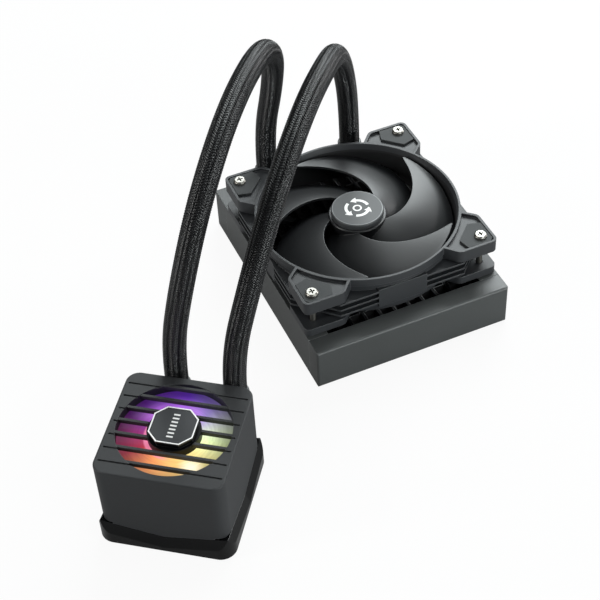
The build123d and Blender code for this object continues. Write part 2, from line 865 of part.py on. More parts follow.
with BuildPart() as light_board:
    with BuildSketch(block_plane(pump_board_top)):
        RectangleRounded(light_board_width, light_board_width, cold_plate_corner)
    extrude(amount=board_thickness)
    with BuildSketch(block_plane(light_board_top)):
        with PolarLocations(led_circle_radius, led_count):
            Rectangle(led_size, led_size)
    extrude(amount=led_height)
save(light_board.part, "light_board")

with BuildPart() as light_disc:
    with BuildSketch(block_plane(light_disc_bottom)):
        Circle(light_disc_radius)
    extrude(amount=light_disc_thickness)
    with BuildSketch(block_plane(light_board_top)):
        Circle(disc_foot_radius)
        Circle(disc_foot_radius - disc_foot_wall, mode=Mode.SUBTRACT)
    extrude(amount=light_disc_bottom - light_board_top)
save(light_disc.part, "light_disc")


# Base skirt: its rim and its seat fall in a shallow vee to the middle of each side

def vee_tool(*profile):
    # One profile swept along both halves of all four sides, rising to the corners.
    with BuildPart(mode=Mode.PRIVATE) as tool:
        for quarter in range(4):
            side = block_side(quarter)
            for along in (-1, 1):
                with BuildSketch(side):
                    with BuildLine():
                        Polyline(*profile, close=True)
                    make_face()
                rising = side.z_dir * along + Vector(0, 0, skirt_vee_slope)
                extrude(amount=skirt_width, dir=rising)
    return tool.part


seat_inner = half_cover - cover_corner
cover_inner = cover_width - 2 * cover_wall
outside = half_skirt + skirt_wall
facet_slope = skirt_slope_rise / (half_skirt - half_cover)

with BuildPart() as base_skirt:
    with BuildSketch(block_plane(skirt_lift)):
        RectangleRounded(skirt_width, skirt_width, skirt_corner)
        RectangleRounded(skirt_opening, skirt_opening, cold_plate_corner, mode=Mode.SUBTRACT)
    extrude(amount=skirt_top - skirt_lift)
    skirt_tool = vee_tool(
        (outside, skirt_low - facet_slope * (outside - half_skirt)),
        (half_cover, skirt_edge),
        (seat_inner, skirt_edge),
        (seat_inner, block_height),
        (outside, block_height),
    )
    add(skirt_tool, mode=Mode.SUBTRACT)
save(base_skirt.part, "base_skirt")


# Pump cover: a moulded shell with a round window, grille bars and line grooves

def octagon(width):
    with BuildSketch(mode=Mode.PRIVATE) as outline:
        Rectangle(width, width)
        chamfer(outline.vertices(), badge_corner * width / badge_width)
    return outline.sketch


with BuildPart() as pump_cover:
    with BuildSketch(block_plane(skirt_edge)):
        RectangleRounded(cover_width, cover_width, cover_corner)
    extrude(amount=block_height - skirt_edge)
    fillet(pump_cover.edges().group_by(Axis.Z)[-1], cover_top_fillet)
    with BuildSketch(block_plane(skirt_edge)):
        RectangleRounded(cover_inner, cover_inner, cover_corner - cover_wall)
    extrude(amount=cover_ceiling - skirt_edge, mode=Mode.SUBTRACT)
    # Lower edge, cut to the vee of the skirt
    edge_tool = vee_tool(
        (outside, skirt_edge),
        (seat_inner, skirt_edge),
        (seat_inner, skirt_edge - skirt_top),
        (outside, skirt_edge - skirt_top),
    )
    add(edge_tool, mode=Mode.SUBTRACT)
    # Notches for the two elbows
    notch_radius = fitting_radius + elbow_hole_clearance
    notch_plane = Plane(
        origin=block_plane(elbow_height).from_local_coords((elbow_offset, half_cover + elbow_notch_extra, 0)),
        x_dir=-block_plane(0).x_dir,
        z_dir=block_plane(0).y_dir,
    )
    with BuildSketch(notch_plane):
        with GridLocations(elbow_spacing, 0, 2, 1):
            Circle(notch_radius)
            with Locations((0, -notch_radius)):
                Rectangle(2 * notch_radius, 2 * notch_radius)
    extrude(amount=-cover_wall - 2 * elbow_notch_extra, mode=Mode.SUBTRACT)
    # Grooves in front of the bars, then the window
    with BuildSketch(block_plane(block_height)):
        with Locations((0, bar_setback - groove_lead)):
            with GridLocations(0, bar_pitch, 1, bar_count):
                Rectangle(cover_width - 2 * groove_margin, groove_width)
    extrude(amount=-groove_depth, mode=Mode.SUBTRACT)
    with BuildSketch(block_plane(cover_ceiling)):
        Circle(window_radius)
    extrude(amount=cover_top_thickness, mode=Mode.SUBTRACT)
    # Bars across the window, cut away where the stem stands
    with BuildSketch(block_plane(bar_top - bar_depth)):
        with Locations((0, bar_setback)):
            with GridLocations(0, bar_pitch, 1, bar_count):
                Rectangle(2 * window_radius, bar_width)
        Circle(stem_radius, mode=Mode.SUBTRACT)
        Circle(window_radius + bar_width, mode=Mode.INTERSECT)
    extrude(amount=bar_depth)
save(pump_cover.part, "pump_cover")


# Badge: a block on a round stem between the bars, a bright rim and a dark face

rim_bottom = badge_top - badge_rim_height

with BuildPart() as badge_block:
    with BuildSketch(block_plane(cover_ceiling)):
        Circle(stem_radius)
    extrude(amount=stem_top - cover_ceiling)
    with BuildSketch(block_plane(stem_top)):
        add(octagon(badge_block_width))
    extrude(amount=rim_bottom - stem_top)
save(badge_block.part, "badge_block")

face_width = badge_width - 2 * badge_rim_width

with BuildPart() as badge_rim:
    with BuildSketch(block_plane(rim_bottom)):
        add(octagon(badge_width))
        add(octagon(face_width), mode=Mode.SUBTRACT)
    extrude(amount=badge_rim_height)
save(badge_rim.part, "badge_rim")

with BuildPart() as badge_face:
    with BuildSketch(block_plane(rim_bottom)):
        add(octagon(face_width))
    extrude(amount=badge_rim_height - badge_face_drop)
save(badge_face.part, "badge_face")
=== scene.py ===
import math

import bpy
import numpy as np
from mathutils import Matrix, Vector


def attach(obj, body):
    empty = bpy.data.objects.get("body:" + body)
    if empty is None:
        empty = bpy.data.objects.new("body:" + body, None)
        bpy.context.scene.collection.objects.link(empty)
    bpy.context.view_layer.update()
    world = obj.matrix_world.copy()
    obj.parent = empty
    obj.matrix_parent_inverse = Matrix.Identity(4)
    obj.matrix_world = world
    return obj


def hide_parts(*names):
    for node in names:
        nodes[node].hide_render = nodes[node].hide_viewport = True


# The looks of a closed loop liquid cooler: a radiator with its fan, two braided
# hoses and a pump block with a lit grille. All lengths here are in metres.

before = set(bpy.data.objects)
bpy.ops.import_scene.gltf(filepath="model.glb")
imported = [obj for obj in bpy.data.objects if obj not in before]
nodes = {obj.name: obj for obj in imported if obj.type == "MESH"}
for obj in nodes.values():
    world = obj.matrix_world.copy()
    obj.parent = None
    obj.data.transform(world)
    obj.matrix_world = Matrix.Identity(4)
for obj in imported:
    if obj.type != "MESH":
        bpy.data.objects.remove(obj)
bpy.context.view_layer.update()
bpy.context.scene.view_settings.view_transform = "Standard"
print("frame loaded:", len(nodes), "nodes")


# Camera, at the photograph's viewing angle

cameraView = {
    "target": (-0.04154, -0.00633, 0.0),
    "azimuth": -21.456,
    "elevation": 45.216,
    "distance": 0.8857,
    "roll": -3.286,
    "lens": 89.05,
    "sensor": 36.0,
    "clipStart": 0.01,
}


def makeCamera(view):
    azimuth = math.radians(view["azimuth"])
    elevation = math.radians(view["elevation"])
    back = Vector((
        math.sin(azimuth) * math.cos(elevation),
        -math.cos(azimuth) * math.cos(elevation),
        math.sin(elevation),
    ))
    data = bpy.data.cameras.new("camera")
    data.lens = view["lens"]
    data.sensor_width = view["sensor"]
    data.clip_start = view["clipStart"]
    camera = bpy.data.objects.new("camera", data)
    bpy.context.scene.collection.objects.link(camera)
    turn = (-back).to_track_quat("-Z", "Y").to_matrix().to_4x4()
    roll = Matrix.Rotation(math.radians(view["roll"]), 4, "Z")
    place = Matrix.Translation(Vector(view["target"]) + back * view["distance"])
    camera.matrix_world = place @ turn @ roll
    bpy.context.scene.camera = camera


makeCamera(cameraView)
print("camera placed")


# Small helpers for the shaders

def addNode(tree, kind, **settings):
    node = tree.nodes.new(kind)
    for key, value in settings.items():
        setattr(node, key, value)
    return node


def link(tree, source, target):
    tree.links.new(source, target)


def feed(tree, socket, value):
    # Links another node's output to the socket, or sets a plain value on it.
    if isinstance(value, bpy.types.NodeSocket):
        link(tree, value, socket)
    else:
        socket.default_value = value


def mathNode(tree, operation, first, second=0.0, third=0.0):
    node = addNode(tree, "ShaderNodeMath", operation=operation)
    for socket, value in zip(node.inputs, (first, second, third)):
        feed(tree, socket, value)
    return node.outputs[0]


def rangeNode(tree, value, low, high, atLow=0.0, atHigh=1.0, smooth=True):
    node = addNode(tree, "ShaderNodeMapRange", interpolation_type="SMOOTHSTEP" if smooth else "LINEAR")
    for label, number in (("From Min", low), ("From Max", high), ("To Min", atLow), ("To Max", atHigh)):
        node.inputs[label].default_value = number
    link(tree, value, node.inputs["Value"])
    return node.outputs[0]


def mixColour(tree, share, first, second):
    node = addNode(tree, "ShaderNodeMix", data_type="RGBA")
    for socket, value in ((node.inputs["Factor"], share), (node.inputs[6], first), (node.inputs[7], second)):
        feed(tree, socket, value)
    return node.outputs[2]


def mixShader(tree, share, first, second):
    node = addNode(tree, "ShaderNodeMixShader")
    for socket, source in zip(node.inputs, (share, first, second)):
        link(tree, source, socket)
    return node.outputs[0]


def vectorNode(tree, operation, first, second=(0, 0, 0), output=0):
    node = addNode(tree, "ShaderNodeVectorMath", operation=operation)
    feed(tree, node.inputs[0], first)
    feed(tree, node.inputs["Scale" if operation == "SCALE" else 1], second)
    return node.outputs[output]


def noiseNode(tree, place, scale, detail, **settings):
    node = addNode(tree, "ShaderNodeTexNoise", **settings)
    for label, value in (("Vector", place), ("Scale", scale), ("Detail", detail)):
        feed(tree, node.inputs[label], value)
    return node.outputs["Fac"]


def splitNode(tree, vector):
    node = addNode(tree, "ShaderNodeSeparateXYZ")
    link(tree, vector, node.inputs[0])
    return node.outputs


def flatPlace(tree, place):
    # Where a point lies across a piece, seen along Z, round a middle that is given with its turn.
    coords = addNode(tree, "ShaderNodeTexCoord")
    local = addNode(tree, "ShaderNodeMapping", vector_type="TEXTURE")
    local.inputs["Location"].default_value = (place["x"], place["y"], 0)
    local.inputs["Rotation"].default_value = (0, 0, math.radians(place["turn"]))
    link(tree, coords.outputs["Object"], local.inputs["Vector"])
    flat = vectorNode(tree, "MULTIPLY", local.outputs[0], (1, 1, 0))
    parts = splitNode(tree, flat)
    return flat, parts["X"], parts["Y"]


def radiusOf(tree, flat):
    return vectorNode(tree, "LENGTH", flat, output="Value")


# Floor, backdrop and lights

stageLook = {
    "floorSize": 6.0,
    "floorDrop": 0.0004,      # clear of the surfaces that stand on it
    "floorShare": 0.93,       # how far the camera sees plain white; the rest shows the shadow
    "floorReflection": 0.75,  # how far glossy pieces mirror the glow
    "floorDimming": 0.75,     # how much dimmer that mirrored glow is
    "floorColour": (0.6, 0.6, 0.6, 1),
    "worldLight": 0.06,
    # Each light: name, place, aim, width and height, watts, colour.
    "lights": [
        ("behind", (0.85, 1.05, 1.25), (0.0, 0.0, 0.05), (1.1, 0.9), 41.0, (0.93, 0.99, 1.0)),
        ("overhead", (0.10, 0.25, 1.55), (0.0, 0.0, 0.05), (0.8, 0.8), 6.5, (0.95, 1.0, 1.0)),
        ("edge", (0.45, -1.00, 0.86), (0.0, -0.05, 0.03), (0.8, 0.06), 5.5, (0.95, 1.0, 1.0)),
        ("left", (-1.25, 0.05, 0.45), (-0.05, 0.0, 0.10), (0.25, 0.8), 10.0, (1.0, 1.0, 0.98)),
        ("right", (1.15, 0.15, 0.45), (-0.02, 0.0, 0.05), (0.3, 0.8), 6.5, (1.0, 1.0, 1.0)),
        ("front", (0.50, -1.25, 0.11), (0.0, 0.0, 0.02), (0.6, 0.14), 12.5, (0.95, 1.0, 1.0)),
    ],
}


def makeFloor(look):
    half = look["floorSize"] / 2
    mesh = bpy.data.meshes.new("floor")
    corners = [(-half, -half, 0), (half, -half, 0), (half, half, 0), (-half, half, 0)]
    mesh.from_pydata(corners, [], [(0, 1, 2, 3)])
    floor = bpy.data.objects.new("floor", mesh)
    bpy.context.scene.collection.objects.link(floor)
    floor.location.z = -look["floorDrop"]
    material = bpy.data.materials.new("paleFloor")
    material.use_nodes = True
    tree = material.node_tree
    tree.nodes.clear()
    output = addNode(tree, "ShaderNodeOutputMaterial")
    matte = addNode(tree, "ShaderNodeBsdfDiffuse")
    matte.inputs["Color"].default_value = look["floorColour"]
    glow = addNode(tree, "ShaderNodeEmission")
    path = addNode(tree, "ShaderNodeLightPath")
    glossy = path.outputs["Is Glossy Ray"]
    strength = mathNode(tree, "MULTIPLY_ADD", glossy, -look["floorDimming"], 1.0)
    link(tree, strength, glow.inputs["Strength"])
    seen = mathNode(tree, "MULTIPLY", path.outputs["Is Camera Ray"], look["floorShare"])
    share = mathNode(tree, "MULTIPLY_ADD", glossy, look["floorReflection"], seen)
    link(tree, mixShader(tree, share, matte.outputs[0], glow.outputs[0]), output.inputs["Surface"])
    mesh.materials.append(material)


def makeWorld(look):
    world = bpy.data.worlds.new("studio")
    bpy.context.scene.world = world
    world.use_nodes = True
    tree = world.node_tree
    tree.nodes.clear()
    output = addNode(tree, "ShaderNodeOutputWorld")
    room = addNode(tree, "ShaderNodeBackground")
    room.inputs["Strength"].default_value = look["worldLight"]
    white = addNode(tree, "ShaderNodeBackground")
    path = addNode(tree, "ShaderNodeLightPath")
    backdrop = mixShader(tree, path.outputs["Is Camera Ray"], room.outputs[0], white.outputs[0])
    link(tree, backdrop, output.inputs["Surface"])


def makeLights(look):
    for name, place, aim, size, power, colour in look["lights"]:
        data = bpy.data.lights.new(name, "AREA")
        data.color = colour
        data.shape = "RECTANGLE"
        data.size, data.size_y = size
        data.energy = power
        lamp = bpy.data.objects.new(name, data)
        bpy.context.scene.collection.objects.link(lamp)
        lamp.location = place
        lamp.rotation_euler = (Vector(aim) - Vector(place)).to_track_quat("-Z", "Y").to_euler()


makeFloor(stageLook)
makeWorld(stageLook)
makeLights(stageLook)
print("floor and lights made")


# Shader groups that the materials share

grainShape = {"fineDetail": 3.0, "cloudScale": 28.0, "cloudDetail": 4.0}
edgeShape = {"samples": 6, "flatFacing": 0.995, "sharpFacing": 0.80}


def newGroup(name, inputs, outputs):
    tree = bpy.data.node_groups.new(name, "ShaderNodeTree")
    for label, kind, value in inputs:
        socket = tree.interface.new_socket(name=label, in_out="INPUT", socket_type=kind)
        socket.default_value = value
    for label, kind in outputs:
        tree.interface.new_socket(name=label, in_out="OUTPUT", socket_type=kind)
    entry = addNode(tree, "NodeGroupInput")
    leave = addNode(tree, "NodeGroupOutput")
    return tree, entry.outputs, leave.inputs


def makeGrainGroup(shape):
    # A fine moulded or painted grain: a colour and a roughness that wander a little, and a height.
    tree, given, out = newGroup(
        "fineGrain",
        [
            ("Colour", "NodeSocketColor", (0.05, 0.05, 0.05, 1)),
            ("Roughness", "NodeSocketFloat", 0.5),
            ("Grain Scale", "NodeSocketFloat", 2500.0),
            ("Colour Spread", "NodeSocketFloat", 0.15),
            ("Roughness Spread", "NodeSocketFloat", 0.1),
        ],
        [("Colour", "NodeSocketColor"), ("Roughness", "NodeSocketFloat"), ("Height", "NodeSocketFloat")],
    )
    place = addNode(tree, "ShaderNodeTexCoord").outputs["Object"]
    grain = noiseNode(tree, place, given["Grain Scale"], shape["fineDetail"])
    cloud = noiseNode(tree, place, shape["cloudScale"], shape["cloudDetail"])
    wander = mathNode(tree, "SUBTRACT", mathNode(tree, "ADD", grain, cloud), 1.0)
    tint = mathNode(tree, "MULTIPLY_ADD", wander, given["Colour Spread"], 1.0)
    rough = mathNode(tree, "MULTIPLY_ADD", wander, given["Roughness Spread"], given["Roughness"])
    link(tree, vectorNode(tree, "SCALE", given["Colour"], tint), out["Colour"])
    link(tree, rough, out["Roughness"])
    link(tree, grain, out["Height"])
    return tree


def makeEdgeWearAndHighlightGroup(shape):
    # A softened normal at sharp edges, and a lighter colour along them: partly light wear, partly a painted
    # highlight where the edges would catch the light.
    tree, given, out = newGroup(
        "softEdgeWearAndHighlight",
        [
            ("Radius", "NodeSocketFloat", 0.0004),
            ("Colour", "NodeSocketColor", (0.05, 0.05, 0.05, 1)),
            ("Edge Colour", "NodeSocketColor", (0.2, 0.2, 0.2, 1)),
            ("Wear", "NodeSocketFloat", 0.5),
        ],
        [("Colour", "NodeSocketColor"), ("Normal", "NodeSocketVector")],
    )
    bevel = addNode(tree, "ShaderNodeBevel", samples=shape["samples"])
    link(tree, given["Radius"], bevel.inputs["Radius"])
    surface = addNode(tree, "ShaderNodeNewGeometry")
    facing = vectorNode(tree, "DOT_PRODUCT", bevel.outputs["Normal"], surface.outputs["Normal"], "Value")
    edge = rangeNode(tree, facing, shape["flatFacing"], shape["sharpFacing"], smooth=False)
    # Painted highlight and wear: the edges are mixed towards a lighter colour.
    wornAndHighlit = mathNode(tree, "MULTIPLY", edge, given["Wear"])
    link(tree, mixColour(tree, wornAndHighlit, given["Colour"], given["Edge Colour"]), out["Colour"])
    link(tree, bevel.outputs["Normal"], out["Normal"])
    return tree


grainGroup = makeGrainGroup(grainShape)
edgeWearAndHighlightGroup = makeEdgeWearAndHighlightGroup(edgeShape)


def useGroup(tree, group, **values):
    node = addNode(tree, "ShaderNodeGroup", node_tree=group)
    for label, value in values.items():
        node.inputs[label.replace("_", " ")].default_value = value
    return node


def newMaterial(name, roughness=0.5, metallic=0.0, coat=0.0, specular=0.5):
    material = bpy.data.materials.new(name)
    material.use_nodes = True
    shader = material.node_tree.nodes["Principled BSDF"]
    shader.inputs["Roughness"].default_value = roughness
    shader.inputs["Metallic"].default_value = metallic
    shader.inputs["Coat Weight"].default_value = coat
    shader.inputs["Specular IOR Level"].default_value = specular
    return material, material.node_tree, shader


def grainedMaterial(name, look):
    # Plastic, rubber, paint or bare metal with a fine grain and soft edges, made lighter by light wear and a
    # painted highlight.
    material, tree, shader = newMaterial(
        name, look["roughness"], look.get("metallic", 0.0), look.get("coat", 0.0), look.get("specular", 0.5)
    )
    grain = useGroup(
        tree, grainGroup, Colour=(*look["colour"], 1), Roughness=look["roughness"],
        Grain_Scale=look["grainScale"], Colour_Spread=look["spread"], Roughness_Spread=look["roughSpread"],
    )
    edge = useGroup(
        tree, edgeWearAndHighlightGroup, Radius=look["edgeRadius"], Edge_Colour=(*look["edgeWearAndHighlightColour"], 1), Wear=look["wearAndHighlight"],
    )
    link(tree, grain.outputs["Colour"], edge.inputs["Colour"])
    link(tree, edge.outputs["Colour"], shader.inputs["Base Color"])
    link(tree, grain.outputs["Roughness"], shader.inputs["Roughness"])
    bump = addNode(tree, "ShaderNodeBump")
    bump.inputs["Strength"].default_value = look["bump"]
    bump.inputs["Distance"].default_value = look["bumpDepth"]
    link(tree, grain.outputs["Height"], bump.inputs["Height"])
    link(tree, edge.outputs["Normal"], bump.inputs["Normal"])
    link(tree, bump.outputs["Normal"], shader.inputs["Normal"])
    return material


def paintOver(material, mask, colour, roughness):
    # Lays a flat print over a grained material where the mask is 1.
    tree = material.node_tree
    shader = tree.nodes["Principled BSDF"]
    for label, value in (("Base Color", (*colour, 1)), ("Roughness", roughness)):
        source = shader.inputs[label].links[0].from_socket
        kind = "RGBA" if label == "Base Color" else "FLOAT"
        mix = addNode(tree, "ShaderNodeMix", data_type=kind)
        first, second, result = (6, 7, 2) if kind == "RGBA" else (2, 3, 0)  # the sockets of that data type
        mix.inputs[second].default_value = value
        link(tree, mask, mix.inputs["Factor"])
        link(tree, source, mix.inputs[first])
        link(tree, mix.outputs[result], shader.inputs[label])


def dress(material, *names):
    for name in names:
        slots = nodes[name].data.materials
        if len(slots) == 0:
            slots.append(material)
        for index in range(len(slots)):
            slots[index] = material


# Radiator

# The lighter edge colour paints a highlight line along the tanks' edges, with a little wear.
radiatorLook = {
    "colour": (0.037, 0.040, 0.040), "roughness": 0.46, "specular": 0.55,
    "grainScale": 2600.0, "spread": 0.25, "roughSpread": 0.12, "bump": 0.18, "bumpDepth": 0.00005,
    "edgeRadius": 0.0008, "edgeWearAndHighlightColour": (0.22, 0.23, 0.23), "wearAndHighlight": 0.5,
}
finLook = {
    "colour": (0.012, 0.012, 0.013), "roughness": 0.55,
    "grainScale": 900.0, "spread": 0.2, "roughSpread": 0.1, "bump": 0.1, "bumpDepth": 0.00003,
    "edgeRadius": 0.0001, "edgeWearAndHighlightColour": (0.08, 0.08, 0.08), "wearAndHighlight": 0.1,
}
# The tubes' lighter edges paint thin highlight lines along their tops.
tubeLook = dict(finLook, colour=(0.002, 0.002, 0.003), specular=0.10, edgeRadius=0.0003, wearAndHighlight=0.12)
radiatorPaint = grainedMaterial("radiatorPaint", radiatorLook)
dress(radiatorPaint, "front_tank", "rear_tank", "side_channel_left", "side_channel_right")
dress(grainedMaterial("finPaint", finLook), "radiator_fins")
dress(grainedMaterial("tubePaint", tubeLook), "radiator_tubes")
print("radiator dressed")


# Fan

fanPlace = {"x": 0.0, "y": 0.0, "turn": 0.0}
frameLook = {
    "colour": (0.021, 0.0225, 0.025), "roughness": 0.48, "specular": 0.42,
    "grainScale": 3200.0, "spread": 0.2, "roughSpread": 0.1, "bump": 0.25, "bumpDepth": 0.00004,
    "edgeRadius": 0.0005, "edgeWearAndHighlightColour": (0.16, 0.165, 0.17), "wearAndHighlight": 0.4,
}
# Painted shade inside the fan's opening: a near black colour within this radius.
paintedShadeInside = {"radius": 0.0578, "colour": (0.004, 0.0042, 0.005), "roughness": 0.75}
bladeLook = {
    "colour": (0.0065, 0.007, 0.008), "roughness": 0.41, "specular": 0.52,
    "grainScale": 2400.0, "spread": 0.15, "roughSpread": 0.08, "bump": 0.12, "bumpDepth": 0.00003,
    "edgeRadius": 0.0006, "edgeWearAndHighlightColour": (0.14, 0.145, 0.15), "wearAndHighlight": 0.4,
}
capLook = {
    "colour": (0.042, 0.045, 0.047), "roughness": 0.52,
    "grainScale": 4200.0, "spread": 0.25, "roughSpread": 0.1, "bump": 0.3, "bumpDepth": 0.00004,
    "edgeRadius": 0.0003, "edgeWearAndHighlightColour": (0.16, 0.165, 0.17), "wearAndHighlight": 0.3,
}
arrowLook = {
    "Radius": 0.0066, "Half Width": 0.0009, "Head": 0.0024, "Ring": 0.0022, "Edge Highlight Line": 0.0146,
    "ringHalfWidth": 0.0005, "highlightLineHalfWidth": 0.00016,
    "count": 3, "bodyEnd": 0.60, "headEnd": 0.86,  # the ends are shares of one arrow's part of the turn
    "colour": (0.80, 0.80, 0.79), "roughness": 0.5,
    # The lighter line near the cap's edge is a painted highlight of its rounded rim.
    "highlightLineColour": (0.20, 0.21, 0.215), "highlightLineRoughness": 0.4,
}
padLook = {
    "colour": (0.036, 0.039, 0.040), "roughness": 0.70, "specular": 0.42,
    "grainScale": 3800.0, "spread": 0.25, "roughSpread": 0.1, "bump": 0.35, "bumpDepth": 0.00005,
    "edgeRadius": 0.0003, "edgeWearAndHighlightColour": (0.12, 0.12, 0.12), "wearAndHighlight": 0.2,
}


def makeArrowGroup(look):
    # Curved arrows that show the way a fan turns, round a small ring, with a painted highlight line near the
    # cap's edge, where its rounded rim would catch the light.
    labels = ("Radius", "Half Width", "Head", "Ring", "Edge Highlight Line")
    tree, given, out = newGroup(
        "turningArrows",
        [(label, "NodeSocketFloat", look[label]) for label in labels],
        [("Mark", "NodeSocketFloat"), ("Line", "NodeSocketFloat")],
    )
    flat, x, y = flatPlace(tree, fanPlace)
    radius = radiusOf(tree, flat)
    angle = mathNode(tree, "ARCTAN2", y, x)
    part = mathNode(tree, "FRACT", mathNode(tree, "MULTIPLY", angle, look["count"] / (2 * math.pi)))
    # Each arrow's part of the turn holds a body, then a head that narrows to a point, then a gap.
    onBody = mathNode(tree, "LESS_THAN", part, look["bodyEnd"])
    onHead = mathNode(tree, "GREATER_THAN", part, look["bodyEnd"])
    toPoint = mathNode(tree, "SUBTRACT", look["headEnd"], part)
    taper = mathNode(tree, "MULTIPLY", toPoint, 1 / (look["headEnd"] - look["bodyEnd"]))
    body = mathNode(tree, "MULTIPLY", onBody, given["Half Width"])
    point = mathNode(tree, "MULTIPLY", mathNode(tree, "MAXIMUM", taper, 0.0), given["Head"])
    head = mathNode(tree, "MULTIPLY", onHead, point)

    def near(place, reach):
        away = mathNode(tree, "ABSOLUTE", mathNode(tree, "SUBTRACT", radius, place))
        return mathNode(tree, "LESS_THAN", away, reach)

    arrows = near(given["Radius"], mathNode(tree, "MAXIMUM", body, head))
    ring = near(given["Ring"], look["ringHalfWidth"])
    link(tree, mathNode(tree, "MAXIMUM", arrows, ring), out["Mark"])
    link(tree, near(given["Edge Highlight Line"], look["highlightLineHalfWidth"]), out["Line"])
    return tree


def makeFramePlastic(look, shadeInside):
    # Painted shade: the wall inside the fan's opening is painted near black, for the shade that falls there
    # between the blades.
    material = grainedMaterial("framePlastic", look)
    tree = material.node_tree
    flat, _, _ = flatPlace(tree, fanPlace)
    shadeMask = mathNode(tree, "LESS_THAN", radiusOf(tree, flat), shadeInside["radius"])
    paintOver(material, shadeMask, shadeInside["colour"], shadeInside["roughness"])
    return material


def makeCapPlastic(look, arrows):
    material = grainedMaterial("capPlastic", look)
    marks = useGroup(material.node_tree, makeArrowGroup(arrows))
    paintOver(material, marks.outputs["Mark"], arrows["colour"], arrows["roughness"])
    # Painted highlight: a light line near the cap's edge.
    paintOver(material, marks.outputs["Line"], arrows["highlightLineColour"], arrows["highlightLineRoughness"])
    return material


dress(makeFramePlastic(frameLook, paintedShadeInside), "fan_frame")
dress(grainedMaterial("bladePlastic", bladeLook), "fan_rotor")
dress(makeCapPlastic(capLook, arrowLook), "hub_cap")
dress(grainedMaterial("padRubber", padLook), "fan_pads")
print("fan dressed")


# Bare metals and the hidden pieces

steelLook = {
    "colour": (0.72, 0.70, 0.66), "roughness": 0.28, "metallic": 1.0,
    "grainScale": 1800.0, "spread": 0.2, "roughSpread": 0.15, "bump": 0.1, "bumpDepth": 0.00002,
    "edgeRadius": 0.0002, "edgeWearAndHighlightColour": (0.85, 0.84, 0.8), "wearAndHighlight": 0.3,
}
screwLook = dict(
    steelLook, colour=(0.27, 0.262, 0.24), roughness=0.38, bump=0.0, edgeRadius=0.00008, wearAndHighlight=0.0,
)
coreLook = dict(steelLook, colour=(0.20, 0.19, 0.18), roughness=0.55)
copperLook = {
    "colour": (0.78, 0.36, 0.20), "roughness": 0.25, "metallic": 1.0,
    "grainScale": 1200.0, "spread": 0.15, "roughSpread": 0.12, "bump": 0.1, "bumpDepth": 0.00002,
    "edgeRadius": 0.0003, "edgeWearAndHighlightColour": (0.9, 0.55, 0.4), "wearAndHighlight": 0.3,
}
bronzeLook = dict(copperLook, colour=(0.55, 0.38, 0.2), roughness=0.5)
boardLook = {
    "colour": (0.010, 0.07, 0.03), "roughness": 0.35, "coat": 0.3,
    "grainScale": 700.0, "spread": 0.3, "roughSpread": 0.1, "bump": 0.1, "bumpDepth": 0.00003,
    "edgeRadius": 0.0001, "edgeWearAndHighlightColour": (0.1, 0.14, 0.08), "wearAndHighlight": 0.3,
}
sealLook = dict(padLook, colour=(0.02, 0.02, 0.02))
housingLook = dict(frameLook, colour=(0.03, 0.03, 0.032))
dress(grainedMaterial("zincSteel", steelLook), "rotor_shaft", "pump_shaft")
dress(grainedMaterial("screwSteel", screwLook), "fan_screws", "cold_plate_screws")
dress(grainedMaterial("ironCore", coreLook), "fan_stator", "pump_stator", "rotor_magnet", "pump_magnet")
dress(grainedMaterial("machinedCopper", copperLook), "cold_plate")
dress(grainedMaterial("sinteredBronze", bronzeLook), "fan_bearing")
dress(grainedMaterial("greenBoard", boardLook), "fan_circuit_board", "pump_board", "light_board")
dress(grainedMaterial("sealRubber", sealLook), "cold_plate_seal")
dress(grainedMaterial("housingPlastic", housingLook), "pump_housing", "pump_impeller")
print("metals and hidden pieces dressed")


# Pump block

blockPlace = {"x": -0.1555, "y": -0.1128, "turn": -36.5}
coverLook = {
    "colour": (0.0185, 0.0195, 0.0212), "roughness": 0.56, "specular": 0.38,
    "grainScale": 3400.0, "spread": 0.25, "roughSpread": 0.1, "bump": 0.35, "bumpDepth": 0.00004,
    "edgeRadius": 0.0005, "edgeWearAndHighlightColour": (0.12, 0.122, 0.125), "wearAndHighlight": 0.35,
}
skirtLook = {
    "colour": (0.0012, 0.0013, 0.0016), "roughness": 0.06, "specular": 0.30,
    "grainScale": 500.0, "spread": 0.2, "roughSpread": 0.03, "bump": 0.02, "bumpDepth": 0.00002,
    "edgeRadius": 0.0005, "edgeWearAndHighlightColour": (0.05, 0.05, 0.053), "wearAndHighlight": 0.35,
}
badgeBlockLook = dict(skirtLook, roughness=0.4, specular=0.12)
badgeFaceLook = dict(coverLook, colour=(0.032, 0.034, 0.037), roughness=0.55)
strokeLook = {
    "halfWidth": 0.0017, "halfRow": 0.0078, "pitch": 0.0024, "share": 0.42,
    "colour": (0.8, 0.8, 0.79), "roughness": 0.5,
}
badgeRimLook = {
    "colour": (0.88, 0.88, 0.87), "shadedSideColour": (0.008, 0.008, 0.008), "roughness": 0.4, "spread": 0.04,
    "litFacing": 0.6,  # faces that look up more than this get the painted highlight
}


def makeBadgeFace(look, strokes, place):
    # A row of equal plain strokes along the badge.
    material = grainedMaterial("badgeDark", look)
    tree = material.node_tree
    _, x, y = flatPlace(tree, place)
    inWidth = mathNode(tree, "LESS_THAN", mathNode(tree, "ABSOLUTE", x), strokes["halfWidth"])
    inRow = mathNode(tree, "LESS_THAN", mathNode(tree, "ABSOLUTE", y), strokes["halfRow"])
    step = mathNode(tree, "MULTIPLY_ADD", y, 1 / strokes["pitch"], strokes["share"] / 2)
    inStroke = mathNode(tree, "LESS_THAN", mathNode(tree, "FRACT", step), strokes["share"])
    mask = mathNode(tree, "MULTIPLY", mathNode(tree, "MULTIPLY", inWidth, inRow), inStroke)
    paintOver(material, mask, strokes["colour"], strokes["roughness"])
    return material


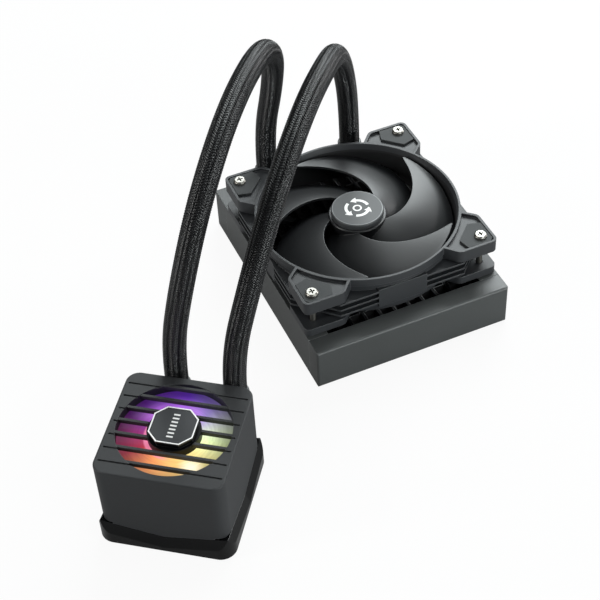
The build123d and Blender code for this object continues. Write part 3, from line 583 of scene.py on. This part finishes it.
def makeBadgeRim(look):
    # Painted light: a painted highlight along its top and painted shade down its sides, picked by which way
    # each face looks.
    material, tree, shader = newMaterial("badgeRimLitAndShaded", look["roughness"])
    grain = useGroup(
        tree, grainGroup, Colour=(*look["shadedSideColour"], 1), Roughness=look["roughness"],
        Colour_Spread=look["spread"],
    )
    link(tree, grain.outputs["Colour"], shader.inputs["Base Color"])
    link(tree, grain.outputs["Roughness"], shader.inputs["Roughness"])
    surface = addNode(tree, "ShaderNodeNewGeometry")
    litFacing = mathNode(tree, "GREATER_THAN", splitNode(tree, surface.outputs["Normal"])["Z"], look["litFacing"])
    # Painted highlight on the faces that look up; the rest keeps the painted shade colour.
    paintOver(material, litFacing, look["colour"], look["roughness"])
    return material


dress(grainedMaterial("coverPlastic", coverLook), "pump_cover")
dress(grainedMaterial("skirtGloss", skirtLook), "base_skirt")
dress(grainedMaterial("badgeGloss", badgeBlockLook), "badge_block")
dress(makeBadgeFace(badgeFaceLook, strokeLook, blockPlace), "badge_face")
dress(makeBadgeRim(badgeRimLook), "badge_rim")
print("cover, skirt and badge dressed")


# The disc under the grille, lit from below in colours that run round it

discLook = {
    "baseColour": (0.02, 0.018, 0.025, 1), "roughness": 0.5, "specular": 0.15, "glow": 1.0,
    "innerRadius": 0.0140, "outerRadius": 0.0300,
    "backGlow": (2.0, 0.5), "frontGlow": (1.5, 0.7),  # at the inner and at the outer radius
    "frontToBack": (-0.012, 0.0),
    "haloRadius": 0.0270, "haloShare": 0.6, "haloColour": (0.8, 0.3, 1.0, 1),
    "haloBackward": (0.002, 0.012), "haloLeftward": (0.015, 0.004),
    "ringStart": 0.0156, "ringEnd": 0.0168, "ringShare": 0.7, "ringColour": (1.0, 0.3, 0.5, 1),
    "ringLeftward": (0.003, -0.006),
    "spotAngle": 0.85, "spotRadius": 0.0225, "spotCore": 0.0005, "spotSize": 0.0080,
    "spotColour": (1.2, 1.1, 0.8, 1),
    "streaksAcross": 900.0, "streaksAround": 12.0, "streakDetail": 2.0, "streakShade": (0.75, 1.2),
    "colours": [                    # share of the turn, from the right towards the hoses
        (0.00, (0.5, 0.6, 0.3)),    # pale green
        (0.15, (0.2, 0.15, 0.4)),   # grey violet
        (0.25, (0.1, 0.02, 0.4)),   # violet
        (0.45, (0.1, 0.01, 0.15)),  # purple
        (0.60, (0.3, 0.02, 0.04)),  # red
        (0.70, (0.8, 0.3, 0.1)),    # orange
        (0.85, (0.8, 0.6, 0.2)),    # yellow
    ],
}


def colourWheel(tree, turn, colours):
    # A ramp that ends in the colour it starts with, so that it closes round the disc.
    ramp = addNode(tree, "ShaderNodeValToRGB")
    stops = ramp.color_ramp.elements
    closed = colours + [(1.0, colours[0][1])]
    while len(stops) < len(closed):
        stops.new(0.5)
    for stop, (position, colour) in zip(stops, closed):
        stop.position = position
        stop.color = (*colour, 1)
    link(tree, turn, ramp.inputs["Fac"])
    return ramp.outputs["Color"]


def makeDiscMaterial(look, place):
    material, tree, shader = newMaterial("litDisc", look["roughness"], specular=look["specular"])
    flat, x, y = flatPlace(tree, place)
    radius = radiusOf(tree, flat)
    angle = mathNode(tree, "ARCTAN2", y, x)
    turn = mathNode(tree, "FRACT", mathNode(tree, "MULTIPLY_ADD", angle, 1 / (2 * math.pi), 1.0))
    wheel = colourWheel(tree, turn, look["colours"])
    # The light falls off more steeply towards the hoses than in front.
    edges = look["innerRadius"], look["outerRadius"]
    backGlow = rangeNode(tree, radius, *edges, *look["backGlow"])
    frontGlow = rangeNode(tree, radius, *edges, *look["frontGlow"])
    glow = mixColour(tree, rangeNode(tree, y, *look["frontToBack"]), frontGlow, backGlow)
    lit = vectorNode(tree, "MULTIPLY", wheel, glow)
    # A violet halo spreads from the middle towards the hoses.
    halo = rangeNode(tree, radius, look["haloRadius"], look["innerRadius"], 0.0, look["haloShare"])
    backward = rangeNode(tree, y, *look["haloBackward"])
    leftward = rangeNode(tree, x, *look["haloLeftward"])
    haloPlace = mathNode(tree, "MULTIPLY", halo, mathNode(tree, "MULTIPLY", backward, leftward))
    lit = mixColour(tree, haloPlace, lit, look["haloColour"])
    # A pink line runs round the left of the middle.
    ring = rangeNode(tree, radius, look["ringEnd"], look["ringStart"], 0.0, look["ringShare"])
    ringPlace = mathNode(tree, "MULTIPLY", ring, rangeNode(tree, x, *look["ringLeftward"]))
    lit = mixColour(tree, ringPlace, lit, look["ringColour"])
    # One lamp under the disc shines through as a pale spot.
    spotTurn = 2 * math.pi * look["spotAngle"]
    spotPlace = (look["spotRadius"] * math.cos(spotTurn), look["spotRadius"] * math.sin(spotTurn), 0)
    away = vectorNode(tree, "DISTANCE", flat, spotPlace, "Value")
    spot = rangeNode(tree, away, look["spotSize"], look["spotCore"])
    lit = mixColour(tree, spot, lit, look["spotColour"])
    # Fine streaks round the disc, as on a turned surface.
    polar = addNode(tree, "ShaderNodeCombineXYZ")
    link(tree, mathNode(tree, "MULTIPLY", radius, look["streaksAcross"]), polar.inputs["X"])
    link(tree, mathNode(tree, "MULTIPLY", turn, look["streaksAround"]), polar.inputs["Y"])
    streaks = noiseNode(tree, polar.outputs[0], 1.0, look["streakDetail"], noise_dimensions="2D")
    streakShade = rangeNode(tree, streaks, 0.0, 1.0, *look["streakShade"], smooth=False)
    link(tree, vectorNode(tree, "SCALE", lit, streakShade), shader.inputs["Emission Color"])
    shader.inputs["Emission Strength"].default_value = look["glow"]
    shader.inputs["Base Color"].default_value = look["baseColour"]
    return material


dress(makeDiscMaterial(discLook, blockPlace), "light_disc")
print("lit disc dressed")


# Ferrules, fittings and elbows

ferruleLook = dict(radiatorLook, colour=(0.014, 0.014, 0.015), roughness=0.3)
elbowLook = dict(skirtLook, roughness=0.25)
ferrulePaint = grainedMaterial("ferrulePaint", ferruleLook)
elbowPlastic = grainedMaterial("elbowPlastic", elbowLook)
for side in ("left", "right"):
    dress(ferrulePaint, "radiator_ferrule_" + side, "pump_ferrule_" + side, "radiator_fitting_" + side)
    dress(elbowPlastic, "pump_elbow_" + side)
print("ferrules and elbows dressed")


# Hoses: the route's points are the control points of a smooth curve

hoseLook = {
    "diameter": 0.0126, "curveSteps": 40, "pathStep": 4,
    "strands": 16, "overCount": 2, "slant": 62.0, "strandShare": 0.96, "lift": 0.00020, "crown": 0.00034,
    "lanes": (-1.0, -0.5, 0.0, 0.5, 1.0),  # across one strand, from edge to edge
    "coreInset": 0.00060, "coreSides": 24, "coreRings": 240,
    "filaments": 4.0, "filamentDepth": 0.00006, "bump": 0.6, "gapStart": 0.55, "gapShade": 0.25,
    "colour": (0.003, 0.0032, 0.004), "roughness": 0.30,
    "grainScale": 1400.0, "spread": 0.5, "roughSpread": 0.2,
}
leftRoute = [
    (-0.0280, 0.0710, 0.0400), (-0.0280, 0.0710, 0.0680), (-0.0275, 0.0530, 0.1150),
    (-0.0350, 0.0290, 0.1550), (-0.0550, -0.0050, 0.1850), (-0.0880, -0.0470, 0.1900),
    (-0.1170, -0.0750, 0.1630), (-0.1335, -0.0790, 0.1130), (-0.13957, -0.0711, 0.0670),
    (-0.13957, -0.0711, 0.0400),
]
rightRoute = [
    (0.0280, 0.0710, 0.0400), (0.0280, 0.0710, 0.0700), (0.0190, 0.0575, 0.1080),
    (0.0020, 0.0280, 0.1430), (-0.0175, -0.0065, 0.1680), (-0.0485, -0.0450, 0.1745),
    (-0.0785, -0.0740, 0.1510), (-0.0995, -0.0870, 0.1100), (-0.11385, -0.09013, 0.0660),
    (-0.11385, -0.09013, 0.0400),
]


def smoothLine(name, route, steps):
    # The points along a curve of order three through the route's control points.
    curve = bpy.data.curves.new(name, "CURVE")
    curve.dimensions = "3D"
    spline = curve.splines.new("NURBS")
    spline.points.add(len(route) - 1)
    for point, place in zip(spline.points, route):
        point.co = (*place, 1)
    spline.order_u = 3
    spline.use_endpoint_u = True
    spline.resolution_u = steps
    holder = bpy.data.objects.new(name, curve)
    bpy.context.scene.collection.objects.link(holder)
    bpy.context.view_layer.update()
    mesh = bpy.data.meshes.new_from_object(holder)
    line = np.array([vertex.co[:] for vertex in mesh.vertices])
    bpy.data.objects.remove(holder)
    bpy.data.meshes.remove(mesh)
    return line


def evenFrames(line, count):
    # Points at even distances along the line, each with two directions across it that don't twist.
    steps = np.linalg.norm(np.diff(line, axis=0), axis=1)
    along = np.concatenate([[0], np.cumsum(steps)])
    places = np.linspace(0, along[-1], count)
    points = np.stack([np.interp(places, along, line[:, axis]) for axis in range(3)], axis=1)
    tangents = np.gradient(points, axis=0)
    tangents /= np.linalg.norm(tangents, axis=1)[:, None]
    first = np.cross(tangents[0], (0, 1, 0))
    across = [first / np.linalg.norm(first)]
    for tangent in tangents[1:]:
        step = across[-1] - tangent * np.dot(across[-1], tangent)
        across.append(step / np.linalg.norm(step))
    across = np.array(across)
    return points, across, np.cross(tangents, across)


def weaveStrands(line, crossings, crossArc, crossStep, look):
    # Flat strands that run round the hose both ways, one sample of each at every crossing.
    samples = crossings + 1
    points, across, other = evenFrames(line, samples)
    radius = look["diameter"] / 2
    slant = math.radians(look["slant"])
    strands, over, lanes = look["strands"], look["overCount"], look["lanes"]
    halfWidth = look["strandShare"] * crossArc * math.cos(slant)

    def between(values, low, part):
        return values[low] * (1 - part) + values[low + 1] * part

    def onSurface(step, angle, height):
        # step counts crossings along the hose and may fall between two of them.
        step = np.clip(step, 0, samples - 1)
        low = np.minimum(step.astype(int), samples - 2)
        part = (step - low)[..., None]
        side = np.cos(angle)[..., None] * between(across, low, part)
        back = np.sin(angle)[..., None] * between(other, low, part)
        return between(points, low, part) + height[..., None] * (side + back)

    vertices = []
    faces = []
    cross = np.arange(samples)
    for direction in (1, -1):
        for strand in range(strands):
            angle = strand * 2 * math.pi / strands + direction * cross * math.pi / strands
            # Each strand passes over two of the other direction, then under two.
            isOver = (over * strand + direction * cross) % (2 * over) < over
            height = radius - look["lift"] + look["lift"] * direction * np.where(isOver, 1.0, -1.0)
            rows = []
            for lane in lanes:
                stepShift = lane * halfWidth * math.sin(slant) / crossStep
                angleShift = -direction * lane * halfWidth * math.cos(slant) / radius
                crown = look["crown"] * lane * lane
                rows.append(onSurface(cross + stepShift, angle + angleShift, height - crown))
            corner = len(lanes) * samples * len(vertices) + len(lanes) * cross[:-1]
            vertices.append(np.stack(rows, axis=1).reshape(-1, 3))
            for lane in range(len(lanes) - 1):
                near, far = corner + lane, corner + lane + len(lanes)
                quad = np.stack([near, near + 1, far + 1, far], axis=1)
                faces.append(quad if direction > 0 else quad[:, ::-1])
    return np.concatenate(vertices), np.concatenate(faces)


def plainCore(line, look, offset):
    # A round core that fills the small gaps between the strands; offset is its first vertex.
    rings, sides = look["coreRings"], look["coreSides"]
    points, across, other = evenFrames(line, rings)
    turns = np.linspace(0, 2 * math.pi, sides, endpoint=False)
    spokes = np.einsum("s,ra->rsa", np.cos(turns), across) + np.einsum("s,ra->rsa", np.sin(turns), other)
    vertices = points[:, None, :] + (look["diameter"] / 2 - look["coreInset"]) * spokes
    ring, side = np.meshgrid(np.arange(rings - 1), np.arange(sides), indexing="ij")
    here = offset + ring * sides + side
    beside = offset + ring * sides + (side + 1) % sides
    faces = np.stack([here, beside, beside + sides, here + sides], axis=-1)
    return vertices.reshape(-1, 3), faces.reshape(-1, 4)


def braidedHose(name, route, look):
    line = smoothLine(name + "Line", route, look["curveSteps"])
    length = float(np.sum(np.linalg.norm(np.diff(line, axis=0), axis=1)))
    crossArc = math.pi * look["diameter"] / 2 / look["strands"]
    crossStep = crossArc / math.tan(math.radians(look["slant"]))
    crossings = round(length / crossStep)
    strandVertices, strandFaces = weaveStrands(line, crossings, crossArc, crossStep, look)
    coreVertices, coreFaces = plainCore(line, look, len(strandVertices))
    vertices = np.concatenate([strandVertices, coreVertices])
    faces = np.concatenate([strandFaces, coreFaces])
    mesh = bpy.data.meshes.new(name)
    mesh.from_pydata(vertices.tolist(), [], faces.tolist())
    mesh.update()
    mesh.polygons.foreach_set("use_smooth", [True] * len(mesh.polygons))
    # How far each point lies across its strand, for the fine filaments of the sleeve.
    lanes = np.tile(look["lanes"], len(strandVertices) // len(look["lanes"]))
    lanes = np.concatenate([lanes, np.zeros(len(coreVertices))])
    mesh.attributes.new("strandAcross", "FLOAT", "POINT").data.foreach_set("value", lanes)
    piece = bpy.data.objects.new(name, mesh)
    bpy.context.scene.collection.objects.link(piece)
    path = line[::look["pathStep"]].tolist() + [line[-1].tolist()]
    print(name, "length", round(length, 4), "crossings", crossings)
    return piece, path, length


def makeSleeveMaterial(look):
    material, tree, shader = newMaterial("braidedSleeve", look["roughness"])
    grain = useGroup(
        tree, grainGroup, Colour=(*look["colour"], 1), Roughness=look["roughness"],
        Grain_Scale=look["grainScale"], Colour_Spread=look["spread"], Roughness_Spread=look["roughSpread"],
    )
    link(tree, grain.outputs["Roughness"], shader.inputs["Roughness"])
    across = addNode(tree, "ShaderNodeAttribute", attribute_name="strandAcross").outputs["Fac"]
    turn = mathNode(tree, "MULTIPLY", across, look["filaments"] * math.pi)
    bump = addNode(tree, "ShaderNodeBump")
    bump.inputs["Strength"].default_value = look["bump"]
    bump.inputs["Distance"].default_value = look["filamentDepth"]
    link(tree, mathNode(tree, "COSINE", turn), bump.inputs["Height"])
    link(tree, bump.outputs["Normal"], shader.inputs["Normal"])
    # Painted shade: the strands' edges, towards the gaps between them, are darker than their crowns.
    fromCrown = mathNode(tree, "ABSOLUTE", across)
    shade = rangeNode(tree, fromCrown, look["gapStart"], 1.0, 1.0, look["gapShade"], smooth=False)
    link(tree, vectorNode(tree, "SCALE", grain.outputs["Colour"], shade), shader.inputs["Base Color"])
    return material


sleeve = makeSleeveMaterial(hoseLook)
for side, route in (("left", leftRoute), ("right", rightRoute)):
    hose, path, length = braidedHose("braidedHose." + side, route, hoseLook)
    hose.data.materials.append(sleeve)
    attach(hose, "cooler")
    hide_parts("hose_" + side)
print("hoses made")


print("scene built")
